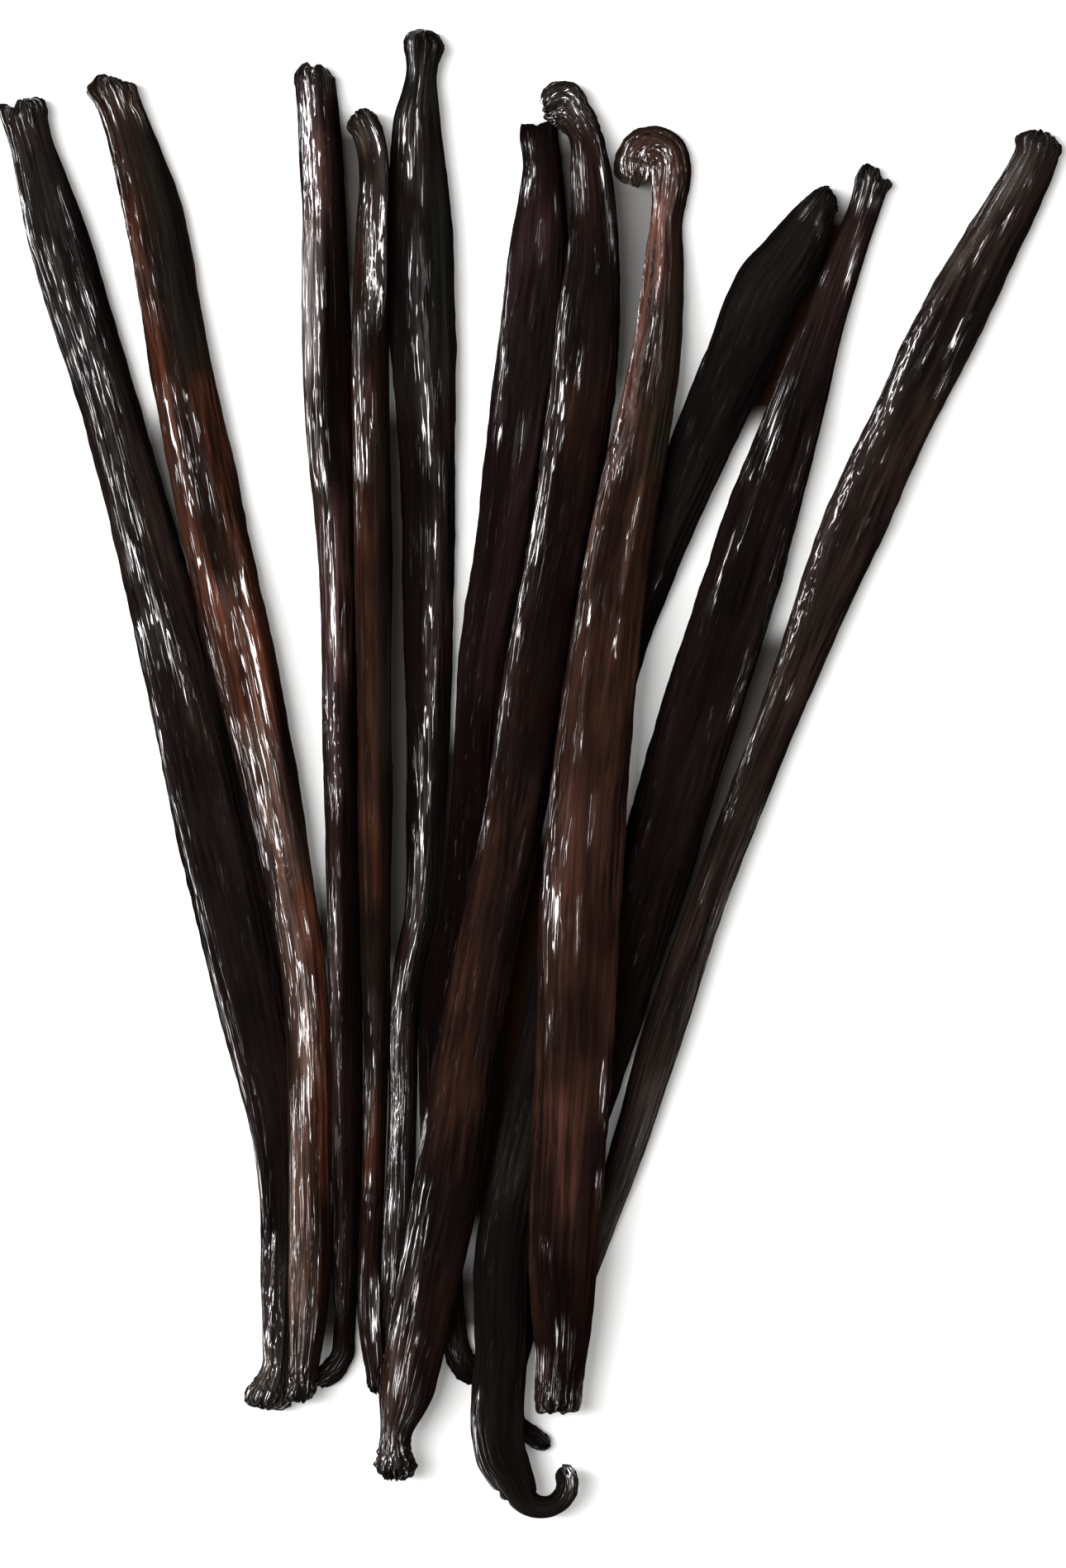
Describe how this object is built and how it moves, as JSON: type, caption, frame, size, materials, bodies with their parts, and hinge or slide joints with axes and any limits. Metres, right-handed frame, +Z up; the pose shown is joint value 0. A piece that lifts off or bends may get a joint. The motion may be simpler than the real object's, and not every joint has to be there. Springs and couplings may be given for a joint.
{
  "type": "bundle of vanilla pods",
  "caption": "Loose bundle of cured vanilla pods, fanned out on a flat surface, with dark, oily, wrinkled skins, knobbed stem ends and hooked tips.",
  "frame": {"origin": "middle of the ground that the bundle covers, on the surface it lies on", "axes": "+Z up from the surface, +Y along the pods towards the fanned stem ends, +X to the right across the fan"},
  "size_m": [0.1282, 0.1798, 0.0127],
  "materials": {
    "black_skin_left": "oily, finely wrinkled cured pod skin, near black",
    "brown_skin_left": "oily, finely wrinkled cured pod skin, brown",
    "scuffed_skin": "oily cured pod skin with pale scuffs, dark brown",
    "amber_skin": "oily cured pod skin, amber brown to black",
    "black_skin_tall": "oily, finely wrinkled cured pod skin, near black",
    "purple_black_skin": "oily cured pod skin, purple black",
    "brown_skin_front": "oily cured pod skin with lengthwise ribs, dark brown",
    "red_brown_skin": "oily cured pod skin, red brown",
    "black_skin_curled": "oily cured pod skin, near black",
    "dark_grooved_skin": "oily cured pod skin with a lengthwise groove, dark brown",
    "dark_brown_skin": "oily, finely wrinkled cured pod skin, dark brown"
  },
  "bodies": {
    "root": {"pod_far_left": "black_skin_left", "pod_left_brown": "brown_skin_left", "pod_on_edge": "scuffed_skin", "pod_short": "amber_skin", "pod_tallest": "black_skin_tall", "pod_square_ended": "purple_black_skin", "pod_front_brown": "brown_skin_front", "pod_curled_stem": "red_brown_skin", "pod_curled_tip": "black_skin_curled", "pod_right_grooved": "dark_grooved_skin", "pod_far_right": "dark_brown_skin"}
  },
  "joints": []
}
